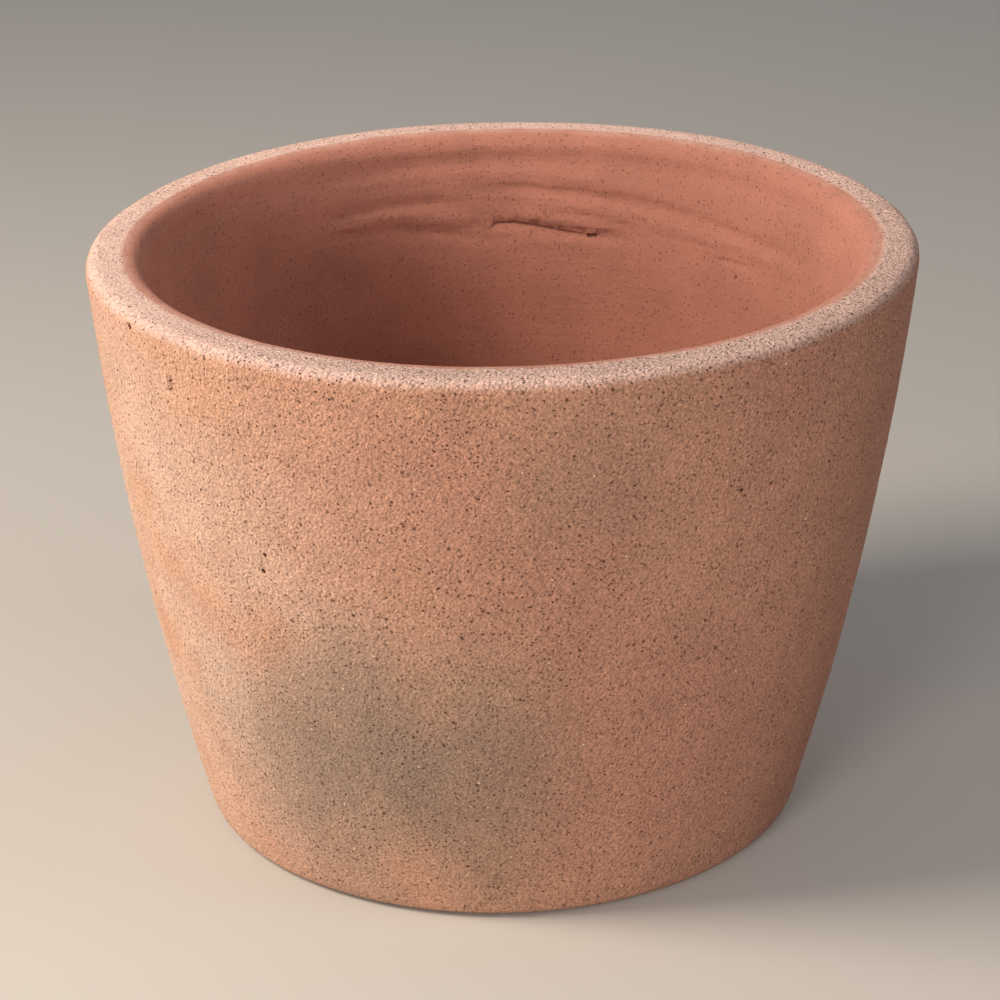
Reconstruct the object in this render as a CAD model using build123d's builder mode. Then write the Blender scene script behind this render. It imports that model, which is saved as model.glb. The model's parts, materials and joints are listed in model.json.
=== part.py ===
"""A plain terracotta plant pot: one fired clay body with a thick, gently bowed wall.

The pot stands on the ground plane. Its axis is +Z and the origin is the centre of the ground
circle. All sizes are in millimetres.
"""
import os
from math import hypot, sqrt

from build123d import *

# ---- Driving dimensions ------------------------------------------------------------------
height = 254.0  # ground to the flat of the lip
rim_radius = 175.5  # outer wall carried up to the lip, before the lip's edge is rounded
base_radius = 130.5  # outer wall carried down to the ground, before its corner is rounded
wall_bow = 5.75  # how far the wall swells outside a straight cone
wall = 24.0  # clay thickness of the wall, which is also the width of the lip
floor_thickness = 24.0  # clay thickness of the floor, ground to inside

drain_radius = 14.0  # the hole in the middle of the floor
foot_width = 26.0  # flat ring that the pot stands on, out to base_radius
dish_depth = 3.0  # how far the underside is hollowed at the drain hole

lip_outer_rounding = 5.5
lip_inner_rounding = 8.0
base_rounding = 7.5
floor_corner_rounding = 32.0  # where the inside of the wall sweeps into the floor
drain_top_rounding = 4.0
drain_bottom_rounding = 2.0

os.makedirs("parts", exist_ok=True)


def outer_radius(z):
    """Radius of the outer wall at a height: an arc from the base to the rim, bowed outwards."""
    flare = rim_radius - base_radius
    slant = hypot(flare, height)
    arc_radius = (slant**2 / 4 + wall_bow**2) / (2 * wall_bow)
    to_centre = (arc_radius - wall_bow) / slant
    centre_r = (rim_radius + base_radius) / 2 - height * to_centre
    centre_z = height / 2 + flare * to_centre
    return centre_r + sqrt(arc_radius**2 - (z - centre_z) ** 2)


# ---- Pot ---------------------------------------------------------------------------------
middle_z = (height + floor_thickness) / 2
floor_corner = (outer_radius(floor_thickness) - wall, floor_thickness)
roundings = [
    ((base_radius, 0), base_rounding),
    ((rim_radius, height), lip_outer_rounding),
    ((rim_radius - wall, height), lip_inner_rounding),
    (floor_corner, floor_corner_rounding),
    ((drain_radius, floor_thickness), drain_top_rounding),
    ((drain_radius, dish_depth), drain_bottom_rounding),
]

with BuildPart() as pot:
    # Half of the section: underside, outside, lip, inside, floor, and down the drain hole
    with BuildSketch(Plane.XZ) as section:
        with BuildLine():
            dish = TangentArc((drain_radius, dish_depth), (base_radius - foot_width, 0), tangent=(1, 0))
            foot = Line(dish @ 1, (base_radius, 0))
            outside = ThreePointArc(foot @ 1, (outer_radius(middle_z), middle_z), (rim_radius, height))
            lip = Line(outside @ 1, (rim_radius - wall, height))
            inside = ThreePointArc(lip @ 1, (outer_radius(middle_z) - wall, middle_z), floor_corner)
            floor = Line(inside @ 1, (drain_radius, floor_thickness))
            drain = Line(floor @ 1, dish @ 0)
        make_face()
        for corner, rounding in roundings:
            fillet(section.vertices().sort_by_distance(corner)[0], rounding)
    revolve(axis=Axis.Z)

pot.part.label = "pot"
export_step(pot.part, "parts/pot.step")

bounds = pot.part.bounding_box()
print(f"pot: {bounds.size.X:.1f} x {bounds.size.Y:.1f} x {bounds.size.Z:.1f} mm")
print(f"volume {pot.part.volume / 1e6:.3f} litres of clay, valid {pot.part.is_valid}")
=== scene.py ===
import json
import math

import bmesh
import bpy
from mathutils import Matrix, Vector, noise


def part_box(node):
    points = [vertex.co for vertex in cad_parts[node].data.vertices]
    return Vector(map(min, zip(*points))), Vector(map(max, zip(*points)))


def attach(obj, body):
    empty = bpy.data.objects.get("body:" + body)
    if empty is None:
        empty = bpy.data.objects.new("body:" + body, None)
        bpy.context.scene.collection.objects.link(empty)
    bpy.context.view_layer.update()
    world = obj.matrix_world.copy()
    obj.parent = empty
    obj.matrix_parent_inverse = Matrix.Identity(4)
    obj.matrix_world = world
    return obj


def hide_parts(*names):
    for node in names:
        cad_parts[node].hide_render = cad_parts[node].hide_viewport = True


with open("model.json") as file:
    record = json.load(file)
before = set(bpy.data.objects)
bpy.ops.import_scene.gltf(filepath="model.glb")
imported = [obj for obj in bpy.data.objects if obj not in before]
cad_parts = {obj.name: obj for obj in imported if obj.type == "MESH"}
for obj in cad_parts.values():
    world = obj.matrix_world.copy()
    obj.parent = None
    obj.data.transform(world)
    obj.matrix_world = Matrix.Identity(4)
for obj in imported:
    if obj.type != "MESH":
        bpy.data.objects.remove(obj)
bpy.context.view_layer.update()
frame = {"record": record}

bl_info = {
    "name": "Terracotta Pot",
    "version": (1, 0, 0),
    "blender": (4, 5, 0),
    "location": "View3D > Sidebar > Pot",
    "description": "Turns a plain terracotta pot in coarse clay and sets it in a soft studio",
    "category": "Add Mesh",
}

MM = 0.001
# Edges of the pores that fold more than this many degrees are shaded sharp.
SHARP_FOLD = 28
POT_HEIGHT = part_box("pot")[1][2]
DRAIN_HOLE = next(mount for mount in frame["record"]["mounts"] if mount["name"] == "drain_hole")


def linear(hex_colour):
    """An sRGB hex colour as the linear colour that the nodes work in."""
    channels = [int(hex_colour[start:start + 2], 16) / 255 for start in (1, 3, 5)]
    return tuple(c / 12.92 if c <= 0.04045 else ((c + 0.055) / 1.055) ** 2.4 for c in channels)


def per_metre(millimetres):
    """The scale of a texture whose features are this many millimetres across."""
    return 1000 / millimetres


# ---- Settings ------------------------------------------------------------------------------


def length(name, description, default):
    """A length in metres that the sidebar shows with its unit."""
    return bpy.props.FloatProperty(
        name=name, description=description, default=default, unit="LENGTH", precision=5
    )


def colour(name, description, default):
    """A colour, given in hex and kept in linear values."""
    return bpy.props.FloatVectorProperty(
        name=name, description=description, default=linear(default), subtype="COLOR", min=0, max=1
    )


class ClayBodySettings(bpy.types.PropertyGroup):
    """Sizes of the turned body."""

    height: length("Height", "Ground to the flat of the lip", POT_HEIGHT)
    rim_radius: length("Rim radius", "Outer wall carried up to the lip", 175.5 * MM)
    base_radius: length("Base radius", "Outer wall carried down to the ground", 130.5 * MM)
    wall_bow: length("Wall bow", "How far the wall swells outside a cone", 5.75 * MM)
    wall: length("Wall", "Thickness of the wall and width of the lip", 24 * MM)
    floor_thickness: length("Floor", "Thickness of the floor", 24 * MM)
    drain_radius: length(
        "Drain hole radius", "Radius of the hole in the floor", DRAIN_HOLE["dims"]["r_mm"] * MM
    )
    foot_width: length("Foot width", "Flat ring that the pot stands on", 26 * MM)
    dish_depth: length("Dish depth", "Hollow of the underside at the drain hole", 3 * MM)
    lip_outer_rounding: length("Lip outer rounding", "Radius of the lip's outer edge", 5.5 * MM)
    lip_inner_rounding: length("Lip inner rounding", "Radius of the lip's inner edge", 8 * MM)
    base_rounding: length("Base rounding", "Radius of the bottom corner", 7.5 * MM)
    floor_corner_rounding: length("Floor corner rounding", "Sweep from wall to floor inside", 32 * MM)
    drain_top_rounding: length("Drain top rounding", "Mouth of the drain hole inside", 4 * MM)
    drain_bottom_rounding: length("Drain bottom rounding", "Mouth of the drain hole beneath", 2 * MM)
    lean: bpy.props.FloatProperty(
        name="Lean", description="Sideways drift of the wall for each unit of height",
        default=0.0153, precision=4,
    )
    unevenness: length("Unevenness", "Slow swell of the hand-finished wall", 0.9 * MM)
    tool_dents: length("Tool dents", "Small dents left by the finishing tool", 0.10 * MM)
    wheel_marks: length("Wheel marks", "Height of the ridges left inside by the fingers", 0.35 * MM)
    shape_seed: bpy.props.FloatProperty(
        name="Shape seed", description="Picks the swell of the wall and the dents", default=98.6
    )
    segments: bpy.props.IntProperty(name="Segments", description="Faces round the pot", default=264, min=24)


class ClaySkinSettings(bpy.types.PropertyGroup):
    """Pores and grains of the coarse clay."""

    pore_chance: bpy.props.FloatProperty(
        name="Pore chance", description="Share of the faces outside that hold an open pore", default=0.27,
        min=0, max=1, subtype="FACTOR",
    )
    pore_depth: length("Pore depth", "Depth of the deepest pores", 1.0 * MM)
    mark_depth: bpy.props.FloatProperty(
        name="Mark depth", description="Strength of the slits, dents and creases", default=1.0, min=0
    )
    grain_density: bpy.props.FloatProperty(
        name="Grain density", description="Grog grains on each square metre", default=9000, min=0
    )
    grain_size: length("Grain size", "Radius of the largest grog grains", 0.6 * MM)
    seed: bpy.props.IntProperty(name="Seed", description="Seed of every random draw", default=7)


class ClayColourSettings(bpy.types.PropertyGroup):
    """Colours of the fired clay."""

    orange: colour("Orange clay", "Main colour outside", "#c19277")
    rosy: colour("Rosy clay", "Redder areas outside", "#b37e6b")
    # Paler clay that also carries painted sunlight, making the lit left side of the wall paler.
    washed_and_sunlit: colour("Washed clay", "Paler area on the weathered side", "#c9ac98")
    # Greyish bloom, darkened so that it also serves as painted dappled shade low on the front-left.
    bloom_and_shade: colour("Bloom", "Greyish patches low on the wall", "#8d7868")
    lip: colour("Lip", "Paler rubbed clay of the lip", "#e0bfb2")
    inside: colour("Inside", "Redder clay of the inside", "#bd8370")
    # Painted shade: pinholes, pits and the bottoms of the marks are darkened towards this colour.
    pore: colour("Pore", "Dark inside of the pores", "#562c1e")
    grain: colour("Grog", "Pale grog grains", "#e6c9ab")


class StudioSettings(bpy.types.PropertyGroup):
    """Camera, light and floor."""

    floor: colour("Floor", "Plain pale floor", "#c9c6c0")
    key_power: bpy.props.FloatProperty(
        name="Key power", description="Soft light on the left", default=29, unit="POWER"
    )
    front_power: bpy.props.FloatProperty(
        name="Front power", description="Low soft light in front, on the left", default=14.5, unit="POWER"
    )
    side_power: bpy.props.FloatProperty(
        name="Side power", description="Weak soft light on the right", default=6.5, unit="POWER"
    )
    fill: bpy.props.FloatProperty(name="Fill", description="Even light from all round", default=0.27)
    camera_distance: length("Camera distance", "Camera to the middle of the pot", 1404 * MM)
    camera_elevation: bpy.props.FloatProperty(
        name="Camera elevation", description="Height above the horizon",
        default=math.radians(23.08), subtype="ANGLE",
    )
    camera_aim: bpy.props.FloatVectorProperty(
        name="Camera aim", description="Where the camera looks, from the middle of the pot",
        default=(-1.2 * MM, 0, 6.05 * MM), subtype="TRANSLATION", unit="LENGTH",
    )
    camera_roll: bpy.props.FloatProperty(
        name="Camera roll", description="Tilt of the camera", default=math.radians(-1.13), subtype="ANGLE"
    )
    camera_angle: bpy.props.FloatProperty(
        name="Camera angle", description="Field of view", default=math.radians(17.70), subtype="ANGLE"
    )


# ---- Node trees ----------------------------------------------------------------------------


def add(tree, kind, inputs=None, **settings):
    """Adds a node. inputs gives sockets, by name or number, a value or another node's output."""
    node = tree.nodes.new(kind)
    for name, value in settings.items():
        setattr(node, name, value)
    for key, value in (inputs or {}).items():
        if isinstance(value, bpy.types.NodeSocket):
            tree.links.new(value, node.inputs[key])
        else:
            node.inputs[key].default_value = value
    return node


def geometry_tree(name, inputs):
    """A Geometry Nodes tree with named inputs, and its input and output nodes."""
    tree = bpy.data.node_groups.new(name, "GeometryNodeTree")
    tree.interface.new_socket(name="Geometry", in_out="INPUT", socket_type="NodeSocketGeometry")
    for label, kind in inputs:
        tree.interface.new_socket(name=label, in_out="INPUT", socket_type=kind)
    tree.interface.new_socket(name="Geometry", in_out="OUTPUT", socket_type="NodeSocketGeometry")
    return tree, add(tree, "NodeGroupInput"), add(tree, "NodeGroupOutput")


def run_tree(piece, tree, values):
    """Gives the piece the tree's result as a plain mesh, with the named inputs set."""
    modifier = piece.modifiers.new(tree.name, "NODES")
    modifier.node_group = tree
    for socket in tree.interface.items_tree:
        if socket.in_out == "INPUT" and socket.name in values:
            modifier[socket.identifier] = values[socket.name]
    evaluated = piece.evaluated_get(bpy.context.evaluated_depsgraph_get())
    made = bpy.data.meshes.new_from_object(evaluated)
    piece.modifiers.remove(modifier)
    piece.data = made
    made.name = piece.name


# ---- Clay body -----------------------------------------------------------------------------


def wall_side(start, end, bow):
    """A side of the section from start to end, swelling to its right by bow, as a function of 0 to 1."""
    start, end = Vector(start), Vector(end)
    across = end - start
    outward = Vector((across.y, -across.x)).normalized()
    return lambda t: start + across * t + outward * (4 * bow * t * (1 - t))


def corner_between(arriving, leaving, rounding):
    """The signed turn from one side to the next, the way in, and how much the rounding trims off each."""
    way_in = (arriving(1) - arriving(0.98)).normalized()
    way_out = (leaving(0.02) - leaving(0)).normalized()
    turn = -way_in.angle_signed(way_out)
    return turn, way_in, rounding * math.tan(abs(turn) / 2)


def section_outline(pot):
    """The section as rows of points in (radius, height), each with its shares of pores and wheel marks.

    It runs anticlockwise: under the pot, up the outside, over the lip, down inside and out
    through the drain hole.
    """
    lip_inside = pot.rim_radius - pot.wall
    outer_wall = wall_side((pot.base_radius, 0), (pot.rim_radius, pot.height), pot.wall_bow)
    floor_radius = outer_wall(pot.floor_thickness / pot.height).x - pot.wall
    # Each side: where it starts, its bow, row spacing in millimetres, pore share, wheel mark
    # share, and the radius and row spacing of the rounding at its start.
    sides = [
        ((pot.drain_radius, pot.dish_depth), -0.6 * MM, 12.0, 0.1, 0.0, pot.drain_bottom_rounding, 1.2),
        ((pot.base_radius - pot.foot_width, 0), 0.0, 6.0, 0.2, 0.0, 0.0, 1.0),
        ((pot.base_radius, 0), pot.wall_bow, 3.5, 1.0, 0.0, pot.base_rounding, 2.4),
        ((pot.rim_radius, pot.height), 0.0, 2.7, 0.9, 0.0, pot.lip_outer_rounding, 2.2),
        ((lip_inside, pot.height), -pot.wall_bow, 5.4, 0.0, 1.0, pot.lip_inner_rounding, 2.4),
        ((floor_radius, pot.floor_thickness), 0.0, 12.0, 0.1, 0.6, pot.floor_corner_rounding, 6.0),
        ((pot.drain_radius, pot.floor_thickness), 0.0, 5.0, 0.1, 0.0, pot.drain_top_rounding, 2.0),
    ]
    paths = []
    for index, side in enumerate(sides):
        following = sides[(index + 1) % len(sides)]
        paths.append(wall_side(side[0], following[0], side[1]))

    rows = []
    for index, (corner, bow, spacing, pores, wheel, rounding, arc_spacing) in enumerate(sides):
        after = (index + 1) % len(sides)
        turn, way_in, trim = corner_between(paths[index - 1], paths[index], rounding)
        if rounding:
            start = Vector(corner) - way_in * trim
            centre = start + Vector((-way_in.y, way_in.x)) * math.copysign(rounding, turn)
            steps = max(2, round(rounding * abs(turn) / (arc_spacing * MM)))
            for step in range(steps):
                swung = Matrix.Rotation(turn * step / steps, 2) @ (start - centre)
                rows.append((centre + swung, pores, wheel))
        # The side itself stops short of the next corner by that corner's own trim.
        next_trim = corner_between(paths[index], paths[after], sides[after][5])[2]
        whole = (paths[index](1) - paths[index](0)).length
        first, last = trim / whole, 1 - next_trim / whole
        steps = max(1, round((last - first) * whole / (spacing * MM)))
        for step in range(steps):
            rows.append((paths[index](first + (last - first) * step / steps), pores, wheel))
    return rows


def turning_tree():
    """Turns the section into a body, leans it, and gives it the swell and marks of hand work."""
    tree, given, result = geometry_tree("Turned clay", [
        ("Segments", "NodeSocketInt"),
        ("Turning Radius", "NodeSocketFloat"),
        ("Height", "NodeSocketFloat"),
        ("Lean", "NodeSocketFloat"),
        ("Unevenness", "NodeSocketFloat"),
        ("Tool Dents", "NodeSocketFloat"),
        ("Wheel Marks", "NodeSocketFloat"),
        ("Shape Seed", "NodeSocketFloat"),
    ])
    given = given.outputs
    section = add(tree, "GeometryNodeMeshToCurve", {"Mesh": given["Geometry"]})
    circle = add(tree, "GeometryNodeCurvePrimitiveCircle", {
        "Resolution": given["Segments"],
        "Radius": given["Turning Radius"],
    })
    turned = add(tree, "GeometryNodeCurveToMesh", {
        "Curve": circle.outputs["Curve"],
        "Profile Curve": section.outputs["Curve"],
    })
    place = add(tree, "GeometryNodeInputPosition").outputs[0]
    split = add(tree, "ShaderNodeSeparateXYZ", {0: place})

    def swell(feature_size, stretch, detail, amount):
        """Noise between minus and plus amount, in metres."""
        stretched = add(tree, "ShaderNodeVectorMath", {0: place, 1: stretch}, operation="MULTIPLY")
        waves = add(tree, "ShaderNodeTexNoise", {
            "Vector": stretched.outputs[0],
            "W": given["Shape Seed"],
            "Scale": per_metre(feature_size),
            "Detail": detail,
        }, noise_dimensions="4D")
        spread = add(tree, "ShaderNodeMapRange", {
            "Value": waves.outputs["Fac"],
            "To Min": -1.0,
            "To Max": 1.0,
        })
        return add(tree, "ShaderNodeMath", {0: spread.outputs[0], 1: amount}, operation="MULTIPLY")

    slow = swell(90, (1, 1, 1), 1.0, given["Unevenness"])
    dents = swell(9, (1, 1, 1), 2.0, given["Tool Dents"])
    wheel_share = add(tree, "GeometryNodeInputNamedAttribute", {"Name": "wheel_share"}, data_type="FLOAT")
    wheel_depth = add(tree, "ShaderNodeMath", {
        0: wheel_share.outputs[0],
        1: given["Wheel Marks"],
    }, operation="MULTIPLY")
    wheel = swell(150, (1, 1, 14), 2.0, wheel_depth.outputs[0])

    # The swell fades out towards the ground, so that the foot stays flat.
    standing = add(tree, "ShaderNodeMapRange", {
        "Value": split.outputs["Z"],
        "From Min": 0.5 * MM,
        "From Max": 8 * MM,
    })
    worked = add(tree, "ShaderNodeMath", {0: slow.outputs[0], 1: dents.outputs[0]}, operation="ADD")
    marked = add(tree, "ShaderNodeMath", {0: worked.outputs[0], 1: wheel.outputs[0]}, operation="ADD")
    faded = add(tree, "ShaderNodeMath", {0: marked.outputs[0], 1: standing.outputs[0]}, operation="MULTIPLY")
    normal = add(tree, "GeometryNodeInputNormal")
    outward = add(tree, "ShaderNodeVectorMath", {
        0: normal.outputs[0],
        "Scale": faded.outputs[0],
    }, operation="SCALE")

    middle = add(tree, "ShaderNodeMath", {0: given["Height"], 1: 0.5}, operation="MULTIPLY")
    above = add(tree, "ShaderNodeMath", {0: split.outputs["Z"], 1: middle.outputs[0]}, operation="SUBTRACT")
    drift = add(tree, "ShaderNodeMath", {0: above.outputs[0], 1: given["Lean"]}, operation="MULTIPLY")
    sideways = add(tree, "ShaderNodeCombineXYZ", {"X": drift.outputs[0]})
    offset = add(tree, "ShaderNodeVectorMath", {0: outward.outputs[0], 1: sideways.outputs[0]})
    moved = add(tree, "GeometryNodeSetPosition", {
        "Geometry": turned.outputs["Mesh"],
        "Offset": offset.outputs[0],
    })
    real = add(tree, "GeometryNodeRealizeInstances", {"Geometry": moved.outputs[0]})
    tree.links.new(real.outputs[0], result.inputs[0])
    return tree


def pore_tree(clay):
    """Opens pores: a chosen face gets a smaller, crooked mouth that is pushed into the clay."""
    tree, given, result = geometry_tree("Open pores", [
        ("Chance", "NodeSocketFloat"),
        ("Least Face", "NodeSocketFloat"),
        ("Depth", "NodeSocketFloat"),
        ("Seed", "NodeSocketInt"),
    ])
    given = given.outputs
    place = add(tree, "GeometryNodeInputPosition").outputs[0]
    split = add(tree, "ShaderNodeSeparateXYZ", {0: place})

    def drawn(low, high, salt):
        """A random number between low and high, different for each salt."""
        seed = add(tree, "ShaderNodeMath", {0: given["Seed"], 1: salt}, operation="ADD")
        draw = add(tree, "FunctionNodeRandomValue", {2: low, 3: high, "Seed": seed.outputs[0]})
        return draw.outputs[1]

    # Pores gather in clusters, more of them on the coarse front and in a band under the lip.
    share = add(tree, "GeometryNodeInputNamedAttribute", {"Name": "pore_share"}, data_type="FLOAT")
    cluster = add(tree, "ShaderNodeTexNoise", {"Vector": place, "Scale": per_metre(26), "Detail": 3.0})
    crowding = add(tree, "ShaderNodeMapRange", {
        "Value": cluster.outputs["Fac"], "From Min": 0.36, "From Max": 0.64, "To Min": 0.25, "To Max": 2.0,
    })
    under_lip = add(tree, "ShaderNodeMapRange", {
        "Value": split.outputs["Z"], "From Min": 0.222, "From Max": 0.246, "To Min": 1.0, "To Max": 2.0,
    })
    across = add(tree, "ShaderNodeVectorMath", {0: place, 1: (0.55, -0.83, 0)}, operation="DOT_PRODUCT")
    coarse_front = add(tree, "ShaderNodeMapRange", {
        "Value": across.outputs["Value"],
        "From Min": -0.02, "From Max": 0.13, "To Min": 0.45, "To Max": 1.25,
    })
    clustered = add(tree, "ShaderNodeMath", {
        0: share.outputs[0],
        1: crowding.outputs[0],
    }, operation="MULTIPLY")
    coarser = add(tree, "ShaderNodeMath", {
        0: under_lip.outputs[0],
        1: coarse_front.outputs[0],
    }, operation="MULTIPLY")
    local = add(tree, "ShaderNodeMath", {
        0: clustered.outputs[0],
        1: coarser.outputs[0],
    }, operation="MULTIPLY")
    chance = add(tree, "ShaderNodeMath", {0: local.outputs[0], 1: given["Chance"]}, operation="MULTIPLY")
    picked = add(tree, "FunctionNodeCompare", {
        0: drawn(0.0, 1.0, 1),
        1: chance.outputs[0],
    }, operation="LESS_THAN")
    area = add(tree, "GeometryNodeInputMeshFaceArea").outputs[0]
    roomy = add(tree, "FunctionNodeCompare", {0: area, 1: given["Least Face"]}, operation="GREATER_THAN")
    chosen = add(tree, "FunctionNodeBooleanMath", {0: picked.outputs[0], 1: roomy.outputs[0]})

    # Where a mouth lies on its face, kept on the face so that all its corners move together.
    side = add(tree, "ShaderNodeMath", {0: area, 1: 0.5}, operation="POWER")
    draw = add(tree, "FunctionNodeRandomValue", {
        0: (-0.34,) * 3, 1: (0.34,) * 3, "Seed": given["Seed"],
    }, data_type="FLOAT_VECTOR")
    normal = add(tree, "GeometryNodeInputNormal").outputs[0]
    along = add(tree, "ShaderNodeVectorMath", {0: draw.outputs[0], 1: normal}, operation="PROJECT")
    flat = add(tree, "ShaderNodeVectorMath", {0: draw.outputs[0], 1: along.outputs[0]}, operation="SUBTRACT")
    way = add(tree, "ShaderNodeVectorMath", {0: flat.outputs[0], "Scale": side.outputs[0]}, operation="SCALE")
    placed = add(tree, "GeometryNodeStoreNamedAttribute", {
        "Geometry": given["Geometry"], "Name": "pore_way", "Value": way.outputs[0],
    }, data_type="FLOAT_VECTOR", domain="FACE")

    # The mouth: a small share of the face, most of them fine, with crooked corners.
    mouth = add(tree, "GeometryNodeExtrudeMesh", {
        "Mesh": placed.outputs[0], "Selection": chosen.outputs[0], "Offset Scale": 0.0, "Individual": True,
    }, mode="FACES")
    fine = add(tree, "ShaderNodeMath", {0: drawn(0.0, 1.0, 2), 1: 2.6}, operation="POWER")
    width = add(tree, "ShaderNodeMapRange", {"Value": fine.outputs[0], "To Min": 0.10, "To Max": 0.27})
    shrunk = add(tree, "GeometryNodeScaleElements", {
        "Geometry": mouth.outputs["Mesh"], "Selection": mouth.outputs["Top"], "Scale": width.outputs[0],
    }, domain="FACE")
    crooked = add(tree, "FunctionNodeRandomValue", {
        0: (-0.12 * MM,) * 3, 1: (0.12 * MM,) * 3, "Seed": given["Seed"],
    }, data_type="FLOAT_VECTOR")
    kept_way = add(tree, "GeometryNodeInputNamedAttribute", {"Name": "pore_way"}, data_type="FLOAT_VECTOR")
    shifted = add(tree, "ShaderNodeVectorMath", {0: kept_way.outputs[0], 1: crooked.outputs[0]})
    jagged = add(tree, "GeometryNodeSetPosition", {
        "Geometry": shrunk.outputs[0], "Selection": mouth.outputs["Top"], "Offset": shifted.outputs[0],
    })

    # The pit below the mouth narrows to an uneven floor.
    pit_depth = add(tree, "ShaderNodeMath", {
        0: drawn(-1.0, -0.4, 3),
        1: given["Depth"],
    }, operation="MULTIPLY")
    pit = add(tree, "GeometryNodeExtrudeMesh", {
        "Mesh": jagged.outputs[0], "Selection": mouth.outputs["Top"],
        "Offset Scale": pit_depth.outputs[0], "Individual": True,
    }, mode="FACES")
    floor = add(tree, "GeometryNodeScaleElements", {
        "Geometry": pit.outputs["Mesh"], "Selection": pit.outputs["Top"], "Scale": drawn(0.45, 0.75, 4),
    }, domain="FACE")
    # The floor and walls of each pit take painted shade, stored as the pore attribute.
    in_pit = add(tree, "FunctionNodeBooleanMath", {
        0: pit.outputs["Top"],
        1: pit.outputs["Side"],
    }, operation="OR")
    marked = add(tree, "GeometryNodeStoreNamedAttribute", {
        "Geometry": floor.outputs[0], "Selection": in_pit.outputs[0], "Name": "pore", "Value": 0.6,
    }, data_type="FLOAT", domain="FACE")
    cleared = add(tree, "GeometryNodeRemoveAttribute", {"Geometry": marked.outputs[0], "Name": "pore_way"})
    fold = add(tree, "GeometryNodeInputMeshEdgeAngle")
    sharp = add(tree, "FunctionNodeCompare", {
        0: fold.outputs[0],
        1: math.radians(SHARP_FOLD),
    }, operation="GREATER_THAN")
    smooth = add(tree, "GeometryNodeSetShadeSmooth", {
        "Geometry": cleared.outputs[0], "Shade Smooth": True,
    }, domain="FACE")
    crisp = add(tree, "GeometryNodeSetShadeSmooth", {
        "Geometry": smooth.outputs[0], "Selection": sharp.outputs[0], "Shade Smooth": False,
    }, domain="EDGE")
    real = add(tree, "GeometryNodeRealizeInstances", {"Geometry": crisp.outputs[0]})
    finished = add(tree, "GeometryNodeSetMaterial", {"Geometry": real.outputs[0], "Material": clay})
    tree.links.new(finished.outputs[0], result.inputs[0])
    return tree


def section_piece(pot, name):
    """An object that holds the section as a closed line, ready for the turning tree."""
    turning_radius = pot.rim_radius - pot.wall
    rows = section_outline(pot)
    # The tree lays the line's own Y along -Z, so the heights are turned over and the order reversed.
    rows.reverse()
    mesh = bpy.data.meshes.new(name)
    count = len(rows)
    points = [(place.x - turning_radius, -place.y, 0) for place, pores, wheel in rows]
    mesh.from_pydata(points, [(i, (i + 1) % count) for i in range(count)], [])
    for label, column in (("pore_share", 1), ("wheel_share", 2)):
        attribute = mesh.attributes.new(label, "FLOAT", "POINT")
        attribute.data.foreach_set("value", [row[column] for row in rows])
    piece = bpy.data.objects.new(name, mesh)
    bpy.context.scene.collection.objects.link(piece)
    return piece, turning_radius


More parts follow.
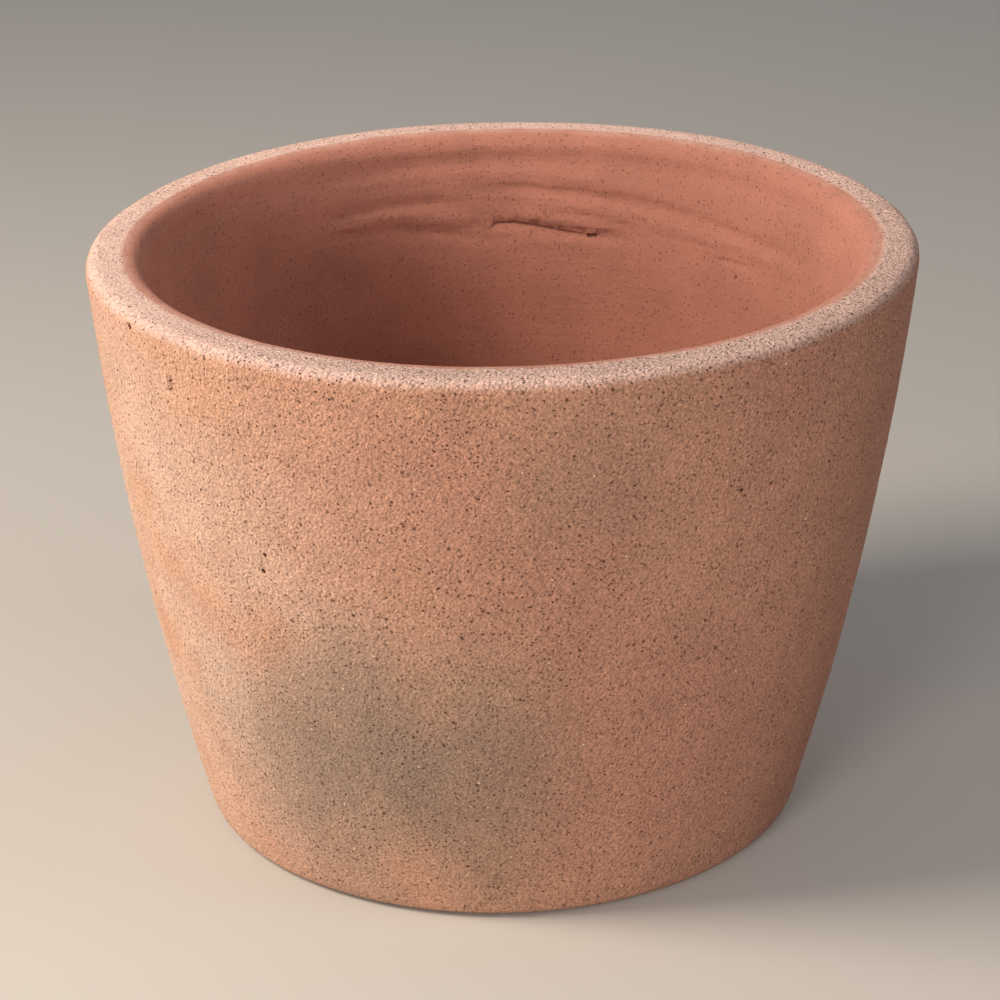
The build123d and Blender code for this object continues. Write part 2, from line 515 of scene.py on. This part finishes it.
# Slits, dents and creases left by the making, each a path of (azimuth in degrees, height in
# millimetres) on the outer or inner wall, with a half width and depth in millimetres (a negative
# depth stands proud), the painted shade at its bottom, and the finest face that it needs.
MARKS = [
    ("outer", [(221.4, 235.2), (221.1, 230.6)], 1.0, 2.8, 1.0, 0.35),
    ("outer", [(211.4, 251), (212.5, 249)], 0.8, 1.2, 1.0, 0.4),
    ("outer", [(235.4, 169)], 1.2, 1.2, 1.0, 0.4),
    ("outer", [(234.7, 161)], 1.1, 1.1, 1.0, 0.4),
    ("outer", [(239, 187)], 1.2, 0.9, 0.8, 0.4),
    ("outer", [(303.2, 195.2)], 1.1, 1.1, 1.0, 0.4),
    ("outer", [(303.8, 192.6)], 0.9, 0.9, 1.0, 0.4),
    # A broken hairline down from the lip.
    ("outer", [(237, 251.5), (236.8, 250.2)], 0.7, 0.8, 1.0, 0.4),
    ("outer", [(236.7, 247.6), (236.5, 245.8)], 0.7, 0.9, 1.0, 0.4),
    ("outer", [(236.1, 242.2)], 0.8, 0.9, 1.0, 0.4),
    ("outer", [(235.9, 238.4)], 0.7, 0.7, 1.0, 0.4),
    # The hollow under the lip, where the inner wall was wiped with a finger.
    ("inner", [(12, 240), (50, 241.5), (100, 241.5), (150, 241), (178, 239)], 6.5, 1.5, 0.0, 1.8),
    # A fold in the clay inside: its two edges, the swelling between them, and the crack where
    # it stayed open.
    ("inner", [(128, 221), (111, 224), (101, 223), (95, 219)], 4.0, 1.3, 0.0, 1.3),
    ("inner", [(127, 214), (111, 212.5), (100, 208), (88, 202)], 3.4, 0.9, 0.0, 1.3),
    ("inner", [(124, 217.5), (108, 217.5), (94, 213)], 4.2, -1.1, 0.0, 1.6),
    (
        "inner", [(97, 210.5), (90, 211.5), (85, 211), (78, 207.6), (71.5, 206.4), (64, 206)],
        3.4, 1.5, 0.0, 1.0,
    ),
    ("inner", [(93, 211), (87, 211.8), (82, 209.8), (77, 207.4), (72.3, 206.6)], 0.8, 0.9, 0.35, 0.4),
    ("inner", [(73.3, 206.4), (72, 206.8)], 1.1, 1.3, 0.7, 0.4),
    ("inner", [(88, 217), (76, 213), (66, 211.5)], 3.4, -1.3, 0.0, 1.2),
    ("inner", [(86, 204), (74, 200.5)], 3.4, -0.6, 0.0, 1.5),
    # Drag lines above it, each with the ridge that the clay was pushed into.
    ("inner", [(97, 229), (86, 227.8), (70, 224.8), (54, 221.8), (38, 217), (20, 216)], 3.6, 1.5, 0.0, 1.2),
    ("inner", [(88, 222.5), (71, 219), (56, 214.5), (38, 211.3), (22, 211)], 4.2, -1.4, 0.0, 1.5),
    ("inner", [(82, 234), (66, 231), (50, 227)], 3.8, -0.9, 0.0, 1.6),
    ("inner", [(48, 205.8), (43, 204.6), (39, 205.4)], 2.2, 1.0, 0.0, 0.9),
    ("inner", [(42.7, 199)], 1.3, 0.8, 0.5, 0.6),
    ("inner", [(108, 198.5)], 1.5, 0.8, 0.3, 0.6),
]

# How far beyond its half width a mark is looked at, and how far beyond it the mesh is divided,
# both in millimetres.
MARK_REACH = 8
DIVIDE_REACH = 6
# How many times the finest face an edge may be long, the same for a face that may take painted shade,
# the share of the half width that takes painted shade, and how fast a long mark fades in at its ends.
EDGE_ALLOWANCE = 1.5
FACE_ALLOWANCE = 2.2
SHADED_SHARE = 0.88
END_FADE = 5


def way_off_path(here, corners):
    """Distance from a point to a path of corners, and how far along the path, from 0 to 1, that is."""
    if len(corners) == 1:
        return (corners[0] - here).length, 0.5
    whole = sum((end - start).length for start, end in zip(corners, corners[1:]))
    found = (math.inf, 0.0)
    passed = 0.0
    for start, end in zip(corners, corners[1:]):
        run = end - start
        share = min(1.0, max(0.0, (here - start).dot(run) / run.length_squared))
        found = min(found, ((start + run * share - here).length, (passed + run.length * share) / whole))
        passed += run.length
    return found


def mark_measure(pot, side, path, half_width):
    """A function of a point on the wall: its way off the path in millimetres, and its way along it."""
    outer_wall = wall_side((pot.base_radius, 0), (pot.rim_radius, pot.height), pot.wall_bow)
    reach = half_width + MARK_REACH
    low = min(step[1] for step in path) - reach
    high = max(step[1] for step in path) + reach
    middle = sum(step[0] for step in path) / len(path)

    def measure(point):
        height = point.z / MM
        if not low < height < high:
            return math.inf, 0.0
        radius = math.hypot(point.x, point.y) / MM
        wall_middle = (outer_wall(point.z / pot.height).x - pot.wall / 2) / MM
        if (radius > wall_middle) != (side == "outer"):
            return math.inf, 0.0
        azimuth = math.degrees(math.atan2(point.y, point.x))
        azimuth += 360 * round((middle - azimuth) / 360)
        corners = [Vector((math.radians(step[0] - azimuth) * radius, step[1])) for step in path]
        # The path wanders a little, so that no edge of the mark is straight.
        wander = noise.noise_vector(point / (5 * MM)) + noise.noise_vector(point / (1.6 * MM)) * 0.4
        wander *= min(1.0, 0.35 * half_width)
        return way_off_path(Vector((wander.x, height + wander.z)), corners)

    return measure


def edge_middle(edge):
    """The point half-way along an edge."""
    return (edge.verts[0].co + edge.verts[1].co) / 2


def press_marks(mesh, pot, strength):
    """Divides the wall finely under each mark and presses the mark in, or draws it out."""
    bm = bmesh.new()
    bm.from_mesh(mesh)
    pore = bm.faces.layers.float.new("pore")
    for side, path, half_width, depth, bottom_shade, finest in MARKS:
        measure = mark_measure(pot, side, path, half_width)
        near = [edge for edge in bm.edges if measure(edge_middle(edge))[0] < half_width + DIVIDE_REACH]
        while True:
            long_edges = []
            for edge in near:
                span = edge.calc_length() / MM
                away = measure(edge_middle(edge))[0]
                if span > finest * EDGE_ALLOWANCE and away < half_width + 0.5 * span + 0.3:
                    long_edges.append(edge)
            if not long_edges:
                break
            divided = bmesh.ops.subdivide_edges(bm, edges=long_edges, cuts=1, use_grid_fill=True)
            fresh = [item for item in divided["geom"] if isinstance(item, bmesh.types.BMEdge)]
            near = list(dict.fromkeys(near + fresh))
        bm.normal_update()
        # Small faces along the bottom of a mark take painted shade, stored in the pore attribute.
        faces = dict.fromkeys(face for edge in near for face in edge.link_faces)
        for face in faces:
            small = face.calc_area() < (FACE_ALLOWANCE * finest * MM) ** 2
            away = measure(face.calc_center_median())[0]
            if bottom_shade and small and away < half_width * SHADED_SHARE:
                face[pore] = max(face[pore], bottom_shade)
        pushes = []
        for vert in dict.fromkeys(vert for edge in near for vert in edge.verts):
            away, along = measure(vert.co)
            if away < half_width:
                across_share = (1 - (away / half_width) ** 2) ** 1.5
                along_share = min(1.0, END_FADE * along, END_FADE * (1 - along)) if len(path) > 2 else 1.0
                pushes.append((vert, vert.normal * (-depth * across_share * along_share * strength * MM)))
        for vert, push in pushes:
            vert.co += push
    bm.to_mesh(mesh)
    bm.free()


class POT_OT_clay_body(bpy.types.Operator):
    """Turn the clay body, press its marks into it and open its pores."""

    bl_idname = "pot.clay_body"
    bl_label = "Clay Body"

    def execute(self, context):
        pot = context.scene.clay_body
        skin = context.scene.clay_skin
        piece, turning_radius = section_piece(pot, "clay_body")
        run_tree(piece, turning_tree(), {
            "Segments": pot.segments,
            "Turning Radius": turning_radius,
            "Height": pot.height,
            "Lean": pot.lean,
            "Unevenness": pot.unevenness,
            "Tool Dents": pot.tool_dents,
            "Wheel Marks": pot.wheel_marks,
            "Shape Seed": pot.shape_seed,
        })
        # The wandering edges of the marks are drawn from a generator that else starts from the clock.
        noise.seed_set(skin.seed)
        press_marks(piece.data, pot, skin.mark_depth)
        run_tree(piece, pore_tree(terracotta_clay()), {
            "Chance": skin.pore_chance,
            "Least Face": 2.5 * MM * MM,
            "Depth": skin.pore_depth,
            "Seed": skin.seed,
        })
        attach(piece, "root")
        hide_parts("pot")
        return {"FINISHED"}


# ---- Grog grains ---------------------------------------------------------------------------


def grain_tree(grog):
    """Scatters grains of crushed fired clay over the outside, most of each one sunk in."""
    tree, given, result = geometry_tree("Grog grains", [
        ("Density", "NodeSocketFloat"),
        ("Largest", "NodeSocketFloat"),
        ("Seed", "NodeSocketInt"),
    ])
    given = given.outputs
    outside = add(tree, "GeometryNodeInputNamedAttribute", {"Name": "pore_share"}, data_type="FLOAT")
    on_wall = add(tree, "FunctionNodeCompare", {0: outside.outputs[0], 1: 0.5}, operation="GREATER_THAN")
    split = add(tree, "ShaderNodeSeparateXYZ", {0: add(tree, "GeometryNodeInputPosition").outputs[0]})
    off_ground = add(tree, "FunctionNodeCompare", {
        0: split.outputs["Z"],
        1: 5 * MM,
    }, operation="GREATER_THAN")
    open_wall = add(tree, "FunctionNodeBooleanMath", {0: on_wall.outputs[0], 1: off_ground.outputs[0]})
    scattered = add(tree, "GeometryNodeDistributePointsOnFaces", {
        "Mesh": given["Geometry"],
        "Selection": open_wall.outputs[0],
        "Density": given["Density"],
        "Seed": given["Seed"],
    })
    ball = add(tree, "GeometryNodeMeshIcoSphere", {"Radius": 1.0, "Subdivisions": 1})
    spin = add(tree, "FunctionNodeRandomValue", {2: 0.0, 3: math.tau, "Seed": given["Seed"]})
    turn = add(tree, "ShaderNodeCombineXYZ", {"Z": spin.outputs[1]})
    turned = add(tree, "FunctionNodeRotateRotation", {
        "Rotation": scattered.outputs["Rotation"],
        "Rotate By": turn.outputs[0],
    }, rotation_space="LOCAL")
    draw = add(tree, "FunctionNodeRandomValue", {2: 0.0, 3: 1.0, "Seed": given["Seed"]})
    rare = add(tree, "ShaderNodeMath", {0: draw.outputs[1], 1: 2.5}, operation="POWER")
    share = add(tree, "ShaderNodeMapRange", {"Value": rare.outputs[0], "To Min": 0.4, "To Max": 1.0})
    size = add(tree, "ShaderNodeMath", {0: share.outputs[0], 1: given["Largest"]}, operation="MULTIPLY")
    flattened = add(tree, "ShaderNodeVectorMath", {
        0: (1.0, 0.75, 0.5),
        "Scale": size.outputs[0],
    }, operation="SCALE")
    grains = add(tree, "GeometryNodeInstanceOnPoints", {
        "Points": scattered.outputs["Points"],
        "Instance": ball.outputs["Mesh"],
        "Rotation": turned.outputs[0],
        "Scale": flattened.outputs[0],
    })
    sunk_by = add(tree, "ShaderNodeMath", {0: size.outputs[0], 1: -0.22}, operation="MULTIPLY")
    down = add(tree, "ShaderNodeCombineXYZ", {"Z": sunk_by.outputs[0]})
    sunk = add(tree, "GeometryNodeTranslateInstances", {
        "Instances": grains.outputs[0],
        "Translation": down.outputs[0],
        "Local Space": True,
    })
    real = add(tree, "GeometryNodeRealizeInstances", {"Geometry": sunk.outputs[0]})
    finished = add(tree, "GeometryNodeSetMaterial", {"Geometry": real.outputs[0], "Material": grog})
    tree.links.new(finished.outputs[0], result.inputs[0])
    return tree


class POT_OT_grog_grains(bpy.types.Operator):
    """Set pale grog grains into the outside of the clay."""

    bl_idname = "pot.grog_grains"
    bl_label = "Grog Grains"

    def execute(self, context):
        skin = context.scene.clay_skin
        clay = context.scene.objects["clay_body"]
        piece = bpy.data.objects.new("grog_grains", clay.data.copy())
        context.scene.collection.objects.link(piece)
        run_tree(piece, grain_tree(crushed_fired_clay()), {
            "Density": skin.grain_density,
            "Largest": skin.grain_size,
            "Seed": skin.seed,
        })
        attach(piece, "root")
        return {"FINISHED"}


# ---- Materials -----------------------------------------------------------------------------


def new_material(name):
    """An empty node material, its tree and its shader."""
    material = bpy.data.materials.new(name)
    material.use_nodes = True
    tree = material.node_tree
    tree.nodes.clear()
    output = add(tree, "ShaderNodeOutputMaterial")
    shader = add(tree, "ShaderNodeBsdfPrincipled")
    tree.links.new(shader.outputs[0], output.inputs["Surface"])
    return material, tree, shader


def terracotta_clay():
    """Unglazed terracotta, pressed, sponged and fired: dead matt, sandy, mottled and full of pinholes."""
    colours = bpy.context.scene.clay_colours
    material, tree, shader = new_material("unglazed terracotta")
    place = add(tree, "ShaderNodeTexCoord").outputs["Object"]
    split = add(tree, "ShaderNodeSeparateXYZ", {0: place})

    def blotches(size, low, high, amount):
        """A soft mask of patches this many millimetres across, as strong as amount."""
        spots = add(tree, "ShaderNodeTexNoise", {"Vector": place, "Scale": per_metre(size), "Detail": 3.0})
        return add(tree, "ShaderNodeMapRange", {
            "Value": spots.outputs["Fac"], "From Min": low, "From Max": high, "To Max": amount,
        }, interpolation_type="SMOOTHSTEP").outputs[0]

    def patch(centre, reach, islands, amount):
        """A stain round a point of the wall, broken up by islands of bare clay."""
        away = add(tree, "ShaderNodeVectorMath", {0: place, 1: centre}, operation="DISTANCE")
        near = add(tree, "ShaderNodeMapRange", {
            "Value": away.outputs["Value"], "From Min": reach, "From Max": reach * 0.15,
        }, interpolation_type="SMOOTHSTEP")
        broken = blotches(islands, 0.22, 0.58, amount)
        return add(tree, "ShaderNodeMath", {0: near.outputs[0], 1: broken}, operation="MULTIPLY").outputs[0]

    def pinholes(cell, largest, share):
        """A mask of round pinholes in a share of the cells, up to this radius in millimetres."""
        spread = add(tree, "ShaderNodeTexVoronoi", {"Vector": place, "Scale": per_metre(cell)})
        draw = add(tree, "ShaderNodeSeparateColor", {0: spread.outputs["Color"]})
        radius = add(tree, "ShaderNodeMapRange", {
            "Value": draw.outputs[0], "From Min": 1 - share, "To Max": largest / cell,
        })
        depth = add(tree, "ShaderNodeMath", {
            0: radius.outputs[0],
            1: spread.outputs["Distance"],
        }, operation="SUBTRACT")
        return add(tree, "ShaderNodeMapRange", {
            "Value": depth.outputs[0], "From Max": 0.12 / cell,
        }).outputs[0]

    # Where each finish shows.
    inner = add(tree, "ShaderNodeAttribute", attribute_name="wheel_share").outputs["Fac"]
    # The pore attribute carries painted shade for the pits and for the bottoms of the marks.
    painted_pit_shade = add(tree, "ShaderNodeAttribute", attribute_name="pore").outputs["Fac"]
    lip_edge = add(tree, "ShaderNodeTexNoise", {"Vector": place, "Scale": per_metre(14), "Detail": 3.0})
    lip_height = add(tree, "ShaderNodeMapRange", {
        "Value": lip_edge.outputs["Fac"], "To Min": -0.0012, "To Max": 0.0012,
    })
    inside_edge = add(tree, "ShaderNodeMath", {0: inner, 1: -3.5 * MM}, operation="MULTIPLY")
    shifted = add(tree, "ShaderNodeMath", {0: lip_height.outputs[0], 1: inside_edge.outputs[0]})
    ragged = add(tree, "ShaderNodeMath", {0: split.outputs["Z"], 1: shifted.outputs[0]})
    rubbed = add(tree, "ShaderNodeMapRange", {
        "Value": ragged.outputs[0], "From Min": 0.2490, "From Max": 0.2538,
    }, interpolation_type="SMOOTHSTEP").outputs[0]
    # Rosier clay on the right side, also darker there as painted shade of the side away from the key light.
    rosy_and_shaded_side = add(tree, "ShaderNodeMapRange", {
        "Value": split.outputs["X"], "From Min": 0.0, "From Max": 0.14, "To Max": 0.55,
    }, interpolation_type="SMOOTHSTEP").outputs[0]
    holes = add(tree, "ShaderNodeMath", {
        0: pinholes(1.7, 0.58, 0.9),
        1: pinholes(4.2, 0.85, 0.6),
    }, operation="MAXIMUM").outputs[0]
    outside = add(tree, "ShaderNodeMapRange", {"Value": inner, "To Min": 1.0, "To Max": 0.25}).outputs[0]
    open_clay = add(tree, "ShaderNodeMapRange", {"Value": inner, "To Min": 1.0, "To Max": 0.45}).outputs[0]
    holes_here = add(tree, "ShaderNodeMath", {0: holes, 1: open_clay}, operation="MULTIPLY").outputs[0]

    # Colour, one finish over another.
    tone = (*colours.orange, 1)
    finishes = [
        (blotches(110, 0.40, 0.62, 0.45), colours.rosy),
        (rosy_and_shaded_side, colours.rosy),
        # Paler clay and painted sunlight on the lit left side of the wall.
        (patch((-0.16, -0.06, 0.13), 0.21, 55, 0.9), colours.washed_and_sunlit),
        # Greyish bloom; the patches low on the front-left are darkened as painted dappled shade.
        (patch((-0.055, -0.138, 0.065), 0.105, 60, 0.85), colours.bloom_and_shade),
        (patch((-0.030, -0.145, 0.100), 0.075, 50, 0.5), colours.bloom_and_shade),
        (patch((0.035, -0.165, 0.205), 0.050, 30, 0.22), colours.bloom_and_shade),
        (patch((0.02, 0.14, 0.09), 0.09, 34, 0.6), colours.bloom_and_shade),
        (inner, colours.inside),
        (rubbed, colours.lip),
    ]
    for mask, shade in finishes:
        tone = add(tree, "ShaderNodeMix", {0: mask, 6: tone, 7: (*shade, 1)}, data_type="RGBA").outputs[2]

    # Uneven firing and sandy grit darken and lighten the tone a little.
    for size, detail, contrast, where in ((24, 3.0, 0.16, 1.0), (1.1, 2.0, 0.75, outside)):
        specks = add(tree, "ShaderNodeTexNoise", {
            "Vector": place,
            "Scale": per_metre(size),
            "Detail": detail,
        })
        uneven = add(tree, "ShaderNodeMapRange", {
            "Value": specks.outputs["Fac"], "To Min": 1 - contrast, "To Max": 1 + contrast,
        })
        strength = add(tree, "ShaderNodeMix", {0: where, 2: 1.0, 3: uneven.outputs[0]})
        tone = add(tree, "ShaderNodeVectorMath", {
            0: tone,
            "Scale": strength.outputs[0],
        }, operation="SCALE").outputs[0]

    # Painted shade: the bump's pinholes, the pits and the bottoms of the marks are darkened towards the pore
    # colour.
    dark = add(tree, "ShaderNodeMath", {0: holes_here, 1: 0.72}, operation="MULTIPLY").outputs[0]
    for mask in (dark, painted_pit_shade):
        tone = add(tree, "ShaderNodeMix", {
            0: mask, 6: tone, 7: (*colours.pore, 1),
        }, data_type="RGBA").outputs[2]
    tree.links.new(tone, shader.inputs["Base Color"])

    # Relief in millimetres: sand grit dragged on a slant by the sponge, lumps, and the pinholes.
    dragged = add(tree, "ShaderNodeMapping", {
        "Vector": place,
        "Rotation": (0, math.radians(-40), 0),
        "Scale": (1.7, 1, 1),
    }, vector_type="TEXTURE").outputs[0]
    grit = add(tree, "ShaderNodeTexNoise", {"Vector": dragged, "Scale": per_metre(1.15), "Detail": 3.0})
    lumps = add(tree, "ShaderNodeTexNoise", {"Vector": dragged, "Scale": per_metre(3.2), "Detail": 2.0})
    coarse = blotches(60, 0.3, 0.6, 0.8)
    unrubbed = add(tree, "ShaderNodeMapRange", {"Value": rubbed, "To Min": 1.0, "To Max": 0.2}).outputs[0]
    coarseness = add(tree, "ShaderNodeMath", {0: coarse, 1: unrubbed}, operation="MULTIPLY").outputs[0]
    grit_height = add(tree, "ShaderNodeMath", {0: grit.outputs["Fac"], 1: 2.0}, operation="MULTIPLY")
    lump_height = add(tree, "ShaderNodeMath", {0: lumps.outputs["Fac"], 1: coarseness}, operation="MULTIPLY")
    sandy = add(tree, "ShaderNodeMath", {0: grit_height.outputs[0], 1: lump_height.outputs[0]})
    # The front of the pot is coarser than its paler left side.
    across = add(tree, "ShaderNodeVectorMath", {0: place, 1: (0.55, -0.83, 0)}, operation="DOT_PRODUCT")
    coarse_front = add(tree, "ShaderNodeMapRange", {
        "Value": across.outputs["Value"], "From Min": -0.02, "From Max": 0.13, "To Min": 0.45, "To Max": 1.4,
    })
    sandy_strength = add(tree, "ShaderNodeMath", {
        0: coarse_front.outputs[0],
        1: outside,
    }, operation="MULTIPLY")
    sandy_here = add(tree, "ShaderNodeMath", {
        0: sandy.outputs[0],
        1: sandy_strength.outputs[0],
    }, operation="MULTIPLY")
    hole_height = add(tree, "ShaderNodeMath", {0: holes_here, 1: -0.6}, operation="MULTIPLY")
    # Inside, the sponge was drawn round the wall and left long shallow streaks.
    drawn_round = add(tree, "ShaderNodeVectorMath", {0: place, 1: (0.12, 0.12, 1)}, operation="MULTIPLY")
    streaks = add(tree, "ShaderNodeTexNoise", {
        "Vector": drawn_round.outputs[0], "Scale": per_metre(4.5), "Detail": 3.0,
    })
    streak_depth = add(tree, "ShaderNodeMath", {0: inner, 1: 0.55}, operation="MULTIPLY")
    streak_height = add(tree, "ShaderNodeMath", {
        0: streaks.outputs["Fac"],
        1: streak_depth.outputs[0],
    }, operation="MULTIPLY")
    pitted = add(tree, "ShaderNodeMath", {0: sandy_here.outputs[0], 1: hole_height.outputs[0]})
    relief = add(tree, "ShaderNodeMath", {0: pitted.outputs[0], 1: streak_height.outputs[0]})
    bump = add(tree, "ShaderNodeBump", {"Distance": MM, "Height": relief.outputs[0]})
    tree.links.new(bump.outputs[0], shader.inputs["Normal"])

    # The rubbed lip is a little less rough than the open clay.
    roughness = add(tree, "ShaderNodeMapRange", {"Value": rubbed, "To Min": 0.95, "To Max": 0.82})
    tree.links.new(roughness.outputs[0], shader.inputs["Roughness"])
    shader.inputs["Diffuse Roughness"].default_value = 0.6
    shader.inputs["Specular IOR Level"].default_value = 0.3
    return material


def crushed_fired_clay():
    """Grog, fired clay crushed to grit: pale matt grains, no two quite the same cream."""
    colours = bpy.context.scene.clay_colours
    material, tree, shader = new_material("crushed fired clay")
    place = add(tree, "ShaderNodeTexCoord").outputs["Object"]
    batch = add(tree, "ShaderNodeTexNoise", {"Vector": place, "Scale": per_metre(5), "Detail": 1.0})
    share = add(tree, "ShaderNodeMapRange", {
        "Value": batch.outputs["Fac"], "From Min": 0.4, "From Max": 0.62,
    })
    tone = add(tree, "ShaderNodeMix", {
        0: share.outputs[0], 6: (*colours.grain, 1), 7: (*colours.orange, 1),
    }, data_type="RGBA")
    tree.links.new(tone.outputs[2], shader.inputs["Base Color"])
    facets = add(tree, "ShaderNodeTexNoise", {"Vector": place, "Scale": per_metre(0.5)})
    bump = add(tree, "ShaderNodeBump", {"Distance": 0.1 * MM, "Height": facets.outputs["Fac"]})
    tree.links.new(bump.outputs[0], shader.inputs["Normal"])
    shader.inputs["Roughness"].default_value = 0.85
    return material


# ---- Studio --------------------------------------------------------------------------------


def point_at(thing, target, roll=0.0):
    """Turns a lamp or camera so that it looks at the target."""
    facing = (Vector(target) - thing.location).to_track_quat("-Z", "Y").to_matrix()
    thing.rotation_euler = (facing @ Matrix.Rotation(roll, 3, "Z")).to_euler()


class POT_OT_studio(bpy.types.Operator):
    """Set up the floor, the lights and the camera."""

    bl_idname = "pot.studio"
    bl_label = "Studio"

    def execute(self, context):
        scene = context.scene
        studio = scene.pot_studio
        middle = Vector((0, 0, POT_HEIGHT / 2))

        floor = bpy.data.meshes.new("studio_floor")
        corners = [(-6, -6, 0), (6, -6, 0), (6, 6, 0), (-6, 6, 0)]
        floor.from_pydata(corners, [], [(0, 1, 2, 3)])
        floor_piece = bpy.data.objects.new("studio_floor", floor)
        scene.collection.objects.link(floor_piece)
        material, tree, shader = new_material("matt painted floor")
        shader.inputs["Base Color"].default_value = (*studio.floor, 1)
        shader.inputs["Roughness"].default_value = 0.9
        floor.materials.append(material)

        # Each lamp: its name, power, colour, size, azimuth and elevation in degrees, and distance.
        lamps = [
            ("key_light", studio.key_power, "#ffeedb", 0.6, 195, 43, 1.7),
            ("front_light", studio.front_power, "#fff6ec", 0.5, 246, 10, 1.7),
            ("side_light", studio.side_power, "#fff2ea", 0.8, 343, 24, 1.7),
        ]
        for name, power, tint, size, azimuth, elevation, distance in lamps:
            light = bpy.data.lights.new(name, "AREA")
            light.size = size
            light.energy = power
            light.color = linear(tint)
            lamp = bpy.data.objects.new(name, light)
            azimuth, elevation = math.radians(azimuth), math.radians(elevation)
            level = math.cos(elevation)
            lamp.location = middle + distance * Vector((
                math.cos(azimuth) * level, math.sin(azimuth) * level, math.sin(elevation),
            ))
            point_at(lamp, middle)
            scene.collection.objects.link(lamp)

        world = bpy.data.worlds.new("studio_air")
        world.use_nodes = True
        background = world.node_tree.nodes["Background"]
        background.inputs["Color"].default_value = (*linear("#e9eef8"), 1)
        background.inputs["Strength"].default_value = studio.fill
        scene.world = world

        camera = bpy.data.cameras.new("camera")
        camera.angle = studio.camera_angle
        camera_object = bpy.data.objects.new("camera", camera)
        elevation = studio.camera_elevation
        way_back = Vector((0, -math.cos(elevation), math.sin(elevation)))
        camera_object.location = middle + studio.camera_distance * way_back
        point_at(camera_object, middle + Vector(studio.camera_aim), studio.camera_roll)
        scene.collection.objects.link(camera_object)
        scene.camera = camera_object

        scene.view_settings.view_transform = "Standard"
        return {"FINISHED"}


# ---- Add-on --------------------------------------------------------------------------------


class POT_PT_panel(bpy.types.Panel):
    """Buttons and settings of the pot."""

    bl_idname = "POT_PT_panel"
    bl_label = "Terracotta Pot"
    bl_space_type = "VIEW_3D"
    bl_region_type = "UI"
    bl_category = "Pot"

    def draw(self, context):
        for operator in OPERATORS:
            self.layout.operator(operator.bl_idname)
        for label in SETTINGS:
            group = getattr(context.scene, label)
            box = self.layout.box()
            for name in group.bl_rna.properties.keys():
                if name not in ("rna_type", "name"):
                    box.prop(group, name)


SETTINGS = {
    "clay_body": ClayBodySettings,
    "clay_skin": ClaySkinSettings,
    "clay_colours": ClayColourSettings,
    "pot_studio": StudioSettings,
}
OPERATORS = (POT_OT_studio, POT_OT_clay_body, POT_OT_grog_grains)


def register():
    for cls in (*SETTINGS.values(), *OPERATORS, POT_PT_panel):
        bpy.utils.register_class(cls)
    for label, cls in SETTINGS.items():
        setattr(bpy.types.Scene, label, bpy.props.PointerProperty(type=cls))


def unregister():
    for label in SETTINGS:
        delattr(bpy.types.Scene, label)
    for cls in (POT_PT_panel, *reversed(OPERATORS), *reversed(SETTINGS.values())):
        bpy.utils.unregister_class(cls)


def main():
    register()
    bpy.ops.pot.studio()
    bpy.ops.pot.clay_body()
    bpy.ops.pot.grog_grains()


if __name__ == "__main__":
    main()
